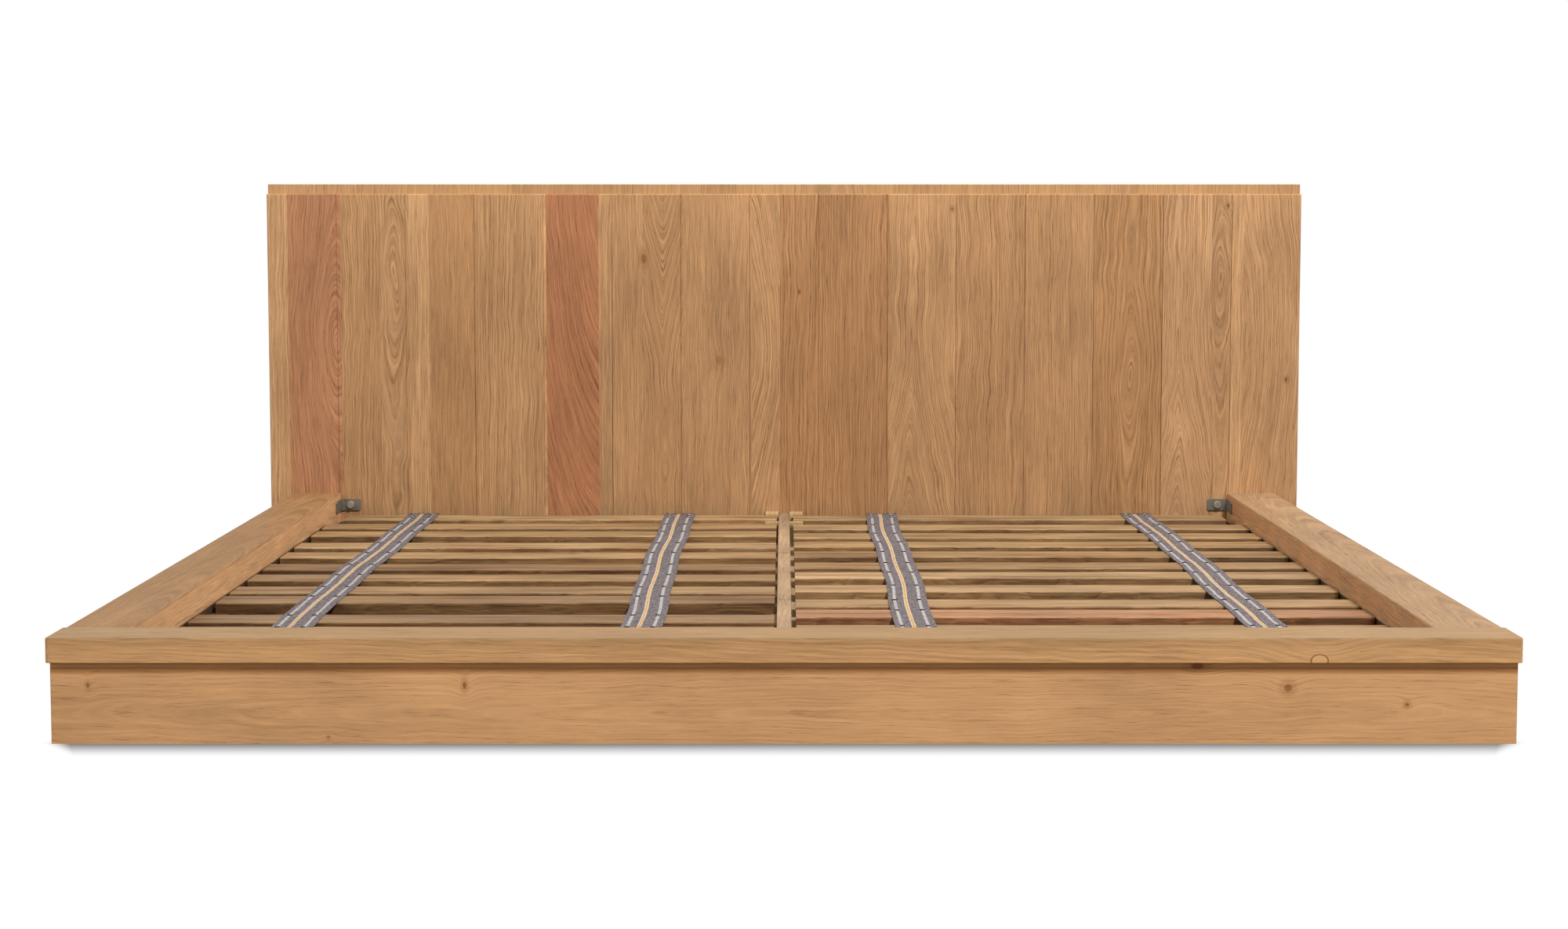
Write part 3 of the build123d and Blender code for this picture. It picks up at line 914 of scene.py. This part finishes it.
def receiver_wood(woods):
    """The forked blocks that hold the beam, pale at the top and darkened below with painted shade.
    """
    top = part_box("centre_beam")[1].z
    block = plain_oak("receiver wood", "YXZ", top, heart=0.07, seed=0.19)
    # Painted shade below the receivers' top.
    shade = block.near_top(top, RECEIVER_SHADE, RECEIVER_DARK, 1.0)
    return block.finish(block.graph.dim(tuple(woods.receiver), shade), rings=0.3)


def ledger_wood(woods):
    """The strips under the slat ends, as pale as the beam where they show beside it and dark with
    painted shade under the slats.
    """
    strip = plain_oak("ledger wood", "YXZ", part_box("centre_beam")[1].z, heart=0.07, seed=0.35)
    g = strip.graph
    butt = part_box(SLATS["right"][0])[0].x
    # Painted shade: the dark ledger tone under the slats, the beam's tone beside them.
    covered = g.fade(g.math("ABSOLUTE", strip.axis["X"]), butt, butt + LEDGER_FADE)
    tone = g.mix(covered, tuple(woods.beam), tuple(woods.ledger))
    return strip.finish(tone, sheen=0.0)


def slat_wood(woods):
    """Short lengths of mixed timber, one tone for each slat, stained, with painted shade on their
    fronts that deepens towards the rails.
    """
    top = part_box(SLATS["left"][0])[1].z
    timber = Timber("slat wood", "X", "Y", "Z", top)
    g = timber.graph
    # The ramp runs from inside the last slat to inside the first, whose tones go on past its ends.
    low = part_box(SLATS["left"][-1])[1].y - RAMP_INSET
    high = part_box(SLATS["left"][0])[0].y + RAMP_INSET
    share = g.math("DIVIDE", g.math("SUBTRACT", timber.axis["Y"], low), high - low)
    sides = []
    for side in SIDES:
        stops = []
        tones = SLAT_TONES[side].split()
        for number, name in enumerate(SLATS[side]):
            start = (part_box(name)[0].y - TONE_LEAD - low) / (high - low)
            stops.append((start, (*getattr(woods, tones[number]), seed_of(number, first=0.21))))
        sides.append(g.ramp(share, sorted(stops)))
    (left_tone, left_seed), (right_tone, right_seed) = sides
    right = g.math("GREATER_THAN", timber.axis["X"], 0.0)
    tone = g.mix(right, left_tone, right_tone)
    left_seed = g.math("MULTIPLY", left_seed, g.math("SUBTRACT", 1.0, right))
    right_seed = g.math("MULTIPLY", g.math("ADD", right_seed, RIGHT_SLAT_STEP), right)
    seed = g.math("ADD", left_seed, right_seed)
    timber.saw(
        Heart=g.math("MULTIPLY_ADD", seed, *SLAT_HEARTS),
        Crossing=-1.8,
        Lean=0.03,
        Reach=1.0,
        Climb=0.0,
        Wander=0.022,
        Ring=0.0070,
        Seed=seed,
    )
    place = (timber.axis["Y"], timber.axis["Z"], timber.axis["X"])
    shift = g.math("MULTIPLY", seed, STAIN_SHIFT)
    stain = g.noise(g.stretched(place, STAIN_SCALE, shift), detail=3.0)
    tone = g.tint(tone, g.fade(stain, *STAIN_RANGE, 0.0, STAIN_STRENGTH), SLAT_STAIN)
    tone = g.tint(tone, g.fade(stain, *BLEACH_RANGE, 0.0, STAIN_STRENGTH), SLAT_BLEACH)
    # Painted shade: the fronts grow darker near the rails.
    start, end = (abs(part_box(SLATS["left"][0])[0].x) - inset for inset in SLAT_END_FADE)
    shade = g.fade(g.math("ABSOLUTE", timber.axis["X"]), start, end, 1.0, SLAT_END_SHADE)
    # Painted shade on the fronts, with the tops in their own tone.
    front = g.dim(g.dim(tone, SLAT_FRONT), shade)
    tone = g.mix(timber.near_top(top, SLAT_ROUNDING), front, tone)
    return timber.finish(tone, rings=0.6, streaks=1.0, drift=0.7, fibre=1.0, rough=0.58)


def webbing_cloth(webbing):
    """Grey salt-and-pepper weave with pale stripes and a pair of yellow lines."""
    material, g = new_material("webbing")
    across, along, _ = g.split(g.add("ShaderNodeUVMap", uv_map="weave").outputs[0])
    ground = (*webbing.ground, 1.0)
    stripe = (*webbing.stripe, 0.45)
    # Where each band starts, as a share of the width, its colour and how peppered it is.
    bands = (
        (0.000, ground),
        (0.125, stripe),
        (0.200, ground),
        (0.392, (*webbing.lilac, 0.4)),
        (0.407, (*webbing.yellow, 0.3)),
        (0.440, (*webbing.olive, 0.8)),
        (0.452, (*webbing.yellow, 0.3)),
        (0.484, (*webbing.cream, 0.4)),
        (0.497, ground),
        (0.765, stripe),
        (0.840, ground),
    )
    tone, pepper = g.ramp(across, bands)
    column = g.math("MULTIPLY", across, WARP_THREADS)
    row = g.math("DIVIDE", along, WEFT_ROW)
    cell = g.vector(g.math("FLOOR", column), g.math("FLOOR", row), 0.0)
    speck = g.around(g.chance(cell), g.math("MULTIPLY", pepper, PEPPER))
    warp = g.math("SINE", g.math("MULTIPLY", column, math.pi))
    weft = g.math("SINE", g.math("MULTIPLY", row, math.pi))
    weave = g.math("MULTIPLY", warp, weft)
    relief = g.math("MULTIPLY", weave, THREAD_RELIEF)
    g.shader(
        Base_Color=g.dim(tone, g.math("ADD", g.math("ADD", speck, 1.0), relief)),
        Roughness=0.85,
        Specular_IOR_Level=0.15,
        Normal=g.bump(weave, distance=0.0004),
    )
    return material


def plain_metal(name, tone, rough, wear):
    """Steel with a little uneven wear."""
    material, g = new_material(name)
    place = g.split(g.add("ShaderNodeTexCoord").outputs["Object"])
    dust = g.noise(g.stretched(place, [STEEL_SPECKS] * 3), detail=4.0)
    g.shader(
        Base_Color=g.dim(tone, g.math("ADD", g.around(dust, wear), 1.0)),
        Metallic=0.75,
        Roughness=g.math("ADD", g.around(dust, 0.4), rough),
    )
    return material


def strap_middle(node, webbing, along):
    """Where a strap's middle lies, a little off the straight line and leaning at the foot."""
    low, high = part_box(node)
    foot = (high.y - along) / (high.y - low.y)
    waves = (size * math.sin(turn * along + shift * low.x) for size, turn, shift in SWAY_WAVES)
    return (low.x + high.x) / 2 + webbing.sway * sum(waves) + STRAP_LEAN[node] * foot


def strap_mesh(node, webbing):
    """A strap laid over its slats, dipping a little between them."""
    low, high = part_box(node)
    side = node.split("_")[0]
    tops = [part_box(name) for name in SLATS[side]]
    bm = bmesh.new()
    weave = bm.loops.layers.uv.new("weave")
    bmesh.ops.create_grid(bm, x_segments=8, y_segments=240, size=0.5)
    for face in bm.faces:
        for loop in face.loops:
            x, y, _ = loop.vert.co
            loop[weave].uv = (x + 0.5, y * (high.y - low.y))
    for vert in bm.verts:
        x, y, _ = vert.co
        along = low.y + (y + 0.5) * (high.y - low.y)
        gap = max(min(max(front.y - along, along - back.y) for front, back in tops), 0)
        dip = webbing.sag * min(gap / DIP_REACH, 1) ** 2
        wave = math.sin(CURL_WAVE[0] * along + CURL_WAVE[1] * low.x)
        curl = webbing.sag * wave * x * min(gap / CURL_REACH, 1)
        middle = strap_middle(node, webbing, along)
        vert.co = (middle + x * (high.x - low.x), along, low.z + STRAP_LIFT - dip + curl)
    bmesh.ops.solidify(bm, geom=bm.faces, thickness=webbing.thickness)
    rest = sum(corner.y for corner in tops[0]) / 2
    lowest = min(v.co.z for v in bm.verts if abs(v.co.y - rest) < STRAP_REST)
    bmesh.ops.translate(bm, verts=bm.verts, vec=(0, 0, low.z + STRAP_LIFT - lowest))
    return bm


class BED_OT_finish_headboard(bpy.types.Operator):
    """Finish the headboard's planks and the panel behind them"""

    bl_idname = "bed.finish_headboard"
    bl_label = "Headboard"

    def execute(self, context):
        oak = context.scene.bed_oak
        cover(headboard_oak(oak), *PLANKS)
        cover(backing_oak(oak), "headboard_back_panel")
        return {"FINISHED"}


class BED_OT_finish_footboard(bpy.types.Operator):
    """Finish the footboard's cap, front panel and inner board"""

    bl_idname = "bed.finish_footboard"
    bl_label = "Footboard"

    def execute(self, context):
        oak = context.scene.bed_oak
        cover(cap_oak(oak), "footboard_cap")
        cover(panel_oak(oak), "footboard_panel", "footboard_inner_board")
        return {"FINISHED"}


class BED_OT_finish_rails(bpy.types.Operator):
    """Finish the boards of both side rails"""

    bl_idname = "bed.finish_rails"
    bl_label = "Side rails"

    def execute(self, context):
        oak = context.scene.bed_oak
        for side in SIDES:
            cover(rail_oak(oak, side), side + "_rail_cap", side + "_rail_skirt")
            cover(lining_oak(oak, side), side + "_rail_inner_board")
        return {"FINISHED"}


class BED_OT_finish_bearers(bpy.types.Operator):
    """Finish the beam, legs, ledgers and forked receivers under the slats"""

    bl_idname = "bed.finish_bearers"
    bl_label = "Beam and ledgers"

    def execute(self, context):
        woods = context.scene.bed_slat_wood
        cover(beam_wood(woods), "centre_beam", "centre_legs")
        cover(receiver_wood(woods), "beam_receivers")
        cover(ledger_wood(woods), "centre_ledgers", "rail_ledgers")
        return {"FINISHED"}


class BED_OT_finish_slats(bpy.types.Operator):
    """Finish every slat in its own tone"""

    bl_idname = "bed.finish_slats"
    bl_label = "Slats"

    def execute(self, context):
        cover(slat_wood(context.scene.bed_slat_wood), *SLATS["left"], *SLATS["right"])
        return {"FINISHED"}


class BED_OT_lay_straps(bpy.types.Operator):
    """Lay the four webbing straps over the slats"""

    bl_idname = "bed.lay_straps"
    bl_label = "Webbing straps"

    def execute(self, context):
        webbing = context.scene.bed_webbing
        cloth = webbing_cloth(webbing)
        fray, g = new_material("frayed thread")
        g.shader(Base_Color=tuple(webbing.fray), Roughness=0.9, Specular_IOR_Level=0.1)
        for seed, place in enumerate(("left_outer", "left_inner", "right_inner", "right_outer")):
            node = place + "_strap"
            side = place.split("_")[0]
            strap = new_piece(place + "_webbing", strap_mesh(node, webbing), cloth,
                              side + "_slat_set")
            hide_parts(node)
            threads = self.frayed(strap, seed)
            ends = new_piece(place + "_frayed_ends", threads, fray, side + "_slat_set")
        return {"FINISHED"}

    def frayed(self, strap, seed):
        """Loose threads at both cut ends of a strap."""
        chance = random.Random(40 + seed)
        bm = bmesh.new()
        reach = [vert.co.y for vert in strap.data.vertices]
        for end, way in ((min(reach), -1), (max(reach), 1)):
            rim = [v.co.copy() for v in strap.data.vertices if abs(v.co.y - end) < RIM]
            left = min(rim, key=lambda point: point.x)
            right = max(rim, key=lambda point: point.x)
            for number in range(THREADS):
                root = left.lerp(right, (number + chance.random()) / THREADS)
                root.z += chance.uniform(*THREAD_RISE)
                root.y = end - way * THREAD_ROOT
                aim = Vector((chance.gauss(*THREAD_SPLAY), way, chance.gauss(*THREAD_DROOP)))
                aim.normalize()
                long = chance.uniform(*THREAD_LENGTH)
                turn = Vector((0, 0, 1)).rotation_difference(aim).to_matrix().to_4x4()
                bmesh.ops.create_cone(
                    bm,
                    segments=4,
                    radius1=0.0006,
                    radius2=0.0003,
                    depth=long,
                    cap_ends=True,
                    matrix=Matrix.Translation(root + aim * long / 2) @ turn,
                )
        return bm


class BED_OT_drive_staples(bpy.types.Operator):
    """Drive two staples through each strap into each slat"""

    bl_idname = "bed.drive_staples"
    bl_label = "Staples"

    def execute(self, context):
        metal = context.scene.bed_metal
        wire = plain_metal("staple wire", tuple(metal.staple), rough=0.5, wear=0.3)
        for side in SIDES:
            bm = bmesh.new()
            chance = random.Random(side)
            for place in ("_outer", "_inner"):
                for name in SLATS[side]:
                    at_end = name in (SLATS[side][0], SLATS[side][-1])
                    rows = STAPLE_ROWS if at_end else STAPLE_ROWS[:1]
                    self.fasten(bm, context.scene, side + place + "_strap", name, rows, chance)
            new_piece(side + "_staples", bm, wire, side + "_slat_set")
        return {"FINISHED"}

    def fasten(self, bm, scene, strap, slat, rows, chance):
        """Staple a strap to one slat."""
        webbing = scene.bed_webbing
        low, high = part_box(strap)
        for row in rows:
            for share in STAPLE_SHARES:
                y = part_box(slat)[1].y - row + chance.uniform(-STAPLE_STRAY, STAPLE_STRAY)
                x = strap_middle(strap, webbing, y) + (share - 0.5) * (high.x - low.x)
                place = Matrix.Translation((x, y, low.z + webbing.thickness))
                turn = Matrix.Rotation(chance.uniform(-STAPLE_TURN, STAPLE_TURN), 4, "Z")
                self.staple(bm, scene.bed_metal, place @ turn)

    def staple(self, bm, metal, place):
        """A crown lying on the webbing and two legs below it."""
        wire = metal.staple_wire
        width = metal.staple_width
        spot = Matrix.Translation((0, 0, wire / 2))
        crown = Matrix.Diagonal((width, wire, wire, 1))
        bmesh.ops.create_cube(bm, size=1, matrix=place @ spot @ crown)
        for way in (-1, 1):
            spot = Matrix.Translation((way * (width - wire) / 2, 0, -metal.staple_leg / 2))
            leg = Matrix.Diagonal((wire * STAPLE_LEG, wire * STAPLE_LEG, metal.staple_leg, 1))
            bmesh.ops.create_cube(bm, size=1, matrix=place @ spot @ leg)


class BED_OT_finish_steel(bpy.types.Operator):
    """Finish the corner brackets and their bolts"""

    bl_idname = "bed.finish_steel"
    bl_label = "Brackets and bolts"

    def execute(self, context):
        metal = context.scene.bed_metal
        plate = plain_metal("bracket steel", tuple(metal.bracket), rough=0.45, wear=0.25)
        cover(plate, "corner_brackets")
        bolt = plain_metal("bolt steel", tuple(metal.bolt), rough=0.35, wear=0.15)
        cover(bolt, "bracket_bolts")
        return {"FINISHED"}


class BED_OT_set_studio(bpy.types.Operator):
    """Set the white floor, the lamps and the camera"""

    bl_idname = "bed.set_studio"
    bl_label = "Studio"

    def execute(self, context):
        scene = context.scene
        studio = scene.bed_studio
        self.floor(scene, studio)
        self.sky(scene, studio)
        for name, size, place, target in LAMPS:
            watts = getattr(studio, name)
            self.lamp(scene, name + " lamp", watts, size, Vector(place), Vector(target))
        self.camera(scene, studio)
        scene.view_settings.view_transform = "Standard"
        return {"FINISHED"}

    def floor(self, scene, studio):
        """A wide floor, white to the camera except near the bed. There its shadow is partly
        painted, a grey floor shown in a zone set by distance from the footprint, and partly the
        lamps' real shading.
        """
        bm = bmesh.new()
        bmesh.ops.create_grid(bm, x_segments=1, y_segments=1, size=30)
        mesh = bpy.data.meshes.new("floor")
        bm.to_mesh(mesh)
        bm.free()
        material, g = new_material("studio floor")
        x, y, _ = g.split(g.add("ShaderNodeTexCoord").outputs["Object"])
        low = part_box("footboard_panel")[0]
        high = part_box("headboard_back_panel")[1]
        aside = g.math("SUBTRACT", g.math("ABSOLUTE", x), -low.x)
        ends = g.math("MAXIMUM", g.math("SUBTRACT", low.y, y), g.math("SUBTRACT", y, high.y))
        # Painted shadow: the zone round the footprint where the grey floor shows instead of white.
        inset = g.math("MULTIPLY_ADD", g.math("MAXIMUM", ends, 0.0), SHADOW_TAPER, aside)
        past_ends = g.math("MAXIMUM", g.fade(ends, *SHADOW_END), g.fade(inset, *SHADOW_CORNER))
        past_sides = g.math("MAXIMUM", g.fade(aside, *SHADOW_SIDE), g.fade(ends, *SHADOW_TURN))
        clear = g.math("MINIMUM", past_ends, past_sides)
        seen = self.shows_background(g)
        matt = g.add("ShaderNodeBsdfDiffuse")
        # Painted shade: under the bed the floor turns to the dark below tone.
        under = g.fade(g.math("MAXIMUM", aside, ends), *UNDER_BED, 1.0, 0.0)
        g.feed(matt.inputs["Color"], g.mix(under, tuple(studio.floor), tuple(studio.below)))
        glow = g.add("ShaderNodeEmission")
        g.feed(glow.inputs["Color"], (1.0, 1.0, 1.0))
        both = g.add("ShaderNodeMixShader")
        g.feed(both.inputs[0], g.math("MULTIPLY", seen, clear))
        g.feed(both.inputs[1], matt.outputs[0])
        g.feed(both.inputs[2], glow.outputs[0])
        out = g.add("ShaderNodeOutputMaterial")
        g.feed(out.inputs[0], both.outputs[0])
        mesh.materials.append(material)
        floor = bpy.data.objects.new("floor", mesh)
        scene.collection.objects.link(floor)

    def shows_background(self, g):
        """Rays that show white: seen straight, off a glossy face or through glass."""
        path = g.add("ShaderNodeLightPath").outputs
        seen = g.math("MAXIMUM", path["Is Camera Ray"], path["Is Glossy Ray"])
        return g.math("MAXIMUM", seen, path["Is Transmission Ray"])

    def sky(self, scene, studio):
        """White behind the bed, and even light from all round."""
        world = bpy.data.worlds.new("studio sky")
        world.use_nodes = True
        world.node_tree.nodes.clear()
        g = Graph(world.node_tree)
        back = g.add("ShaderNodeBackground")
        g.feed(back.inputs["Color"], (1.0, 1.0, 1.0))
        seen = self.shows_background(g)
        g.feed(back.inputs["Strength"], g.math("MULTIPLY_ADD", seen, 1.0 - studio.sky, studio.sky))
        out = g.add("ShaderNodeOutputWorld")
        g.feed(out.inputs[0], back.outputs[0])
        scene.world = world

    def lamp(self, scene, name, watts, size, place, target):
        """A square soft lamp aimed at a point."""
        light = bpy.data.lights.new(name, "AREA")
        light.energy = watts
        light.size = size
        lamp = bpy.data.objects.new(name, light)
        lamp.location = place
        lamp.rotation_euler = (target - place).to_track_quat("-Z", "Y").to_euler()
        scene.collection.objects.link(lamp)

    def camera(self, scene, studio):
        """The camera stands before the middle of the footboard."""
        front = CAD_BOX[0][1]
        lens = bpy.data.cameras.new("camera")
        lens.lens = studio.lens
        camera = bpy.data.objects.new("camera", lens)
        camera.location = (0, front - studio.distance, studio.height)
        camera.rotation_euler = (math.pi / 2 - studio.tilt, 0, 0)
        scene.collection.objects.link(camera)
        scene.camera = camera


OPERATORS = (
    BED_OT_finish_headboard,
    BED_OT_finish_footboard,
    BED_OT_finish_rails,
    BED_OT_finish_bearers,
    BED_OT_finish_slats,
    BED_OT_lay_straps,
    BED_OT_drive_staples,
    BED_OT_finish_steel,
    BED_OT_set_studio,
)


class BED_PT_sidebar(bpy.types.Panel):
    """Lists the bed's finishing steps and their settings"""

    bl_idname = "BED_PT_sidebar"
    bl_label = "Slatted Oak Bed"
    bl_space_type = "VIEW_3D"
    bl_region_type = "UI"
    bl_category = "Bed"

    def draw(self, context):
        for operator in OPERATORS:
            self.layout.operator(operator.bl_idname)
        for settings in SETTINGS:
            group = getattr(context.scene, settings)
            box = self.layout.box()
            for name in group.bl_rna.properties.keys():
                if name not in ("rna_type", "name"):
                    box.prop(group, name)


SETTINGS = {
    "bed_oak": BedOak,
    "bed_slat_wood": BedSlatWood,
    "bed_webbing": BedWebbing,
    "bed_metal": BedMetal,
    "bed_studio": BedStudio,
}
CLASSES = (*SETTINGS.values(), *OPERATORS, BED_PT_sidebar)


def register():
    """Add the settings, steps and sidebar to Blender."""
    for cls in CLASSES:
        bpy.utils.register_class(cls)
    for name, group in SETTINGS.items():
        setattr(bpy.types.Scene, name, PointerProperty(type=group))


def unregister():
    """Take them out again."""
    for name in SETTINGS:
        delattr(bpy.types.Scene, name)
    for cls in reversed(CLASSES):
        bpy.utils.unregister_class(cls)


def main():
    """Finish the whole bed."""
    register()
    bpy.ops.bed.finish_headboard()
    bpy.ops.bed.finish_footboard()
    bpy.ops.bed.finish_rails()
    bpy.ops.bed.finish_bearers()
    bpy.ops.bed.finish_slats()
    bpy.ops.bed.lay_straps()
    bpy.ops.bed.drive_staples()
    bpy.ops.bed.finish_steel()
    bpy.ops.bed.set_studio()


if __name__ == "__main__":
    main()
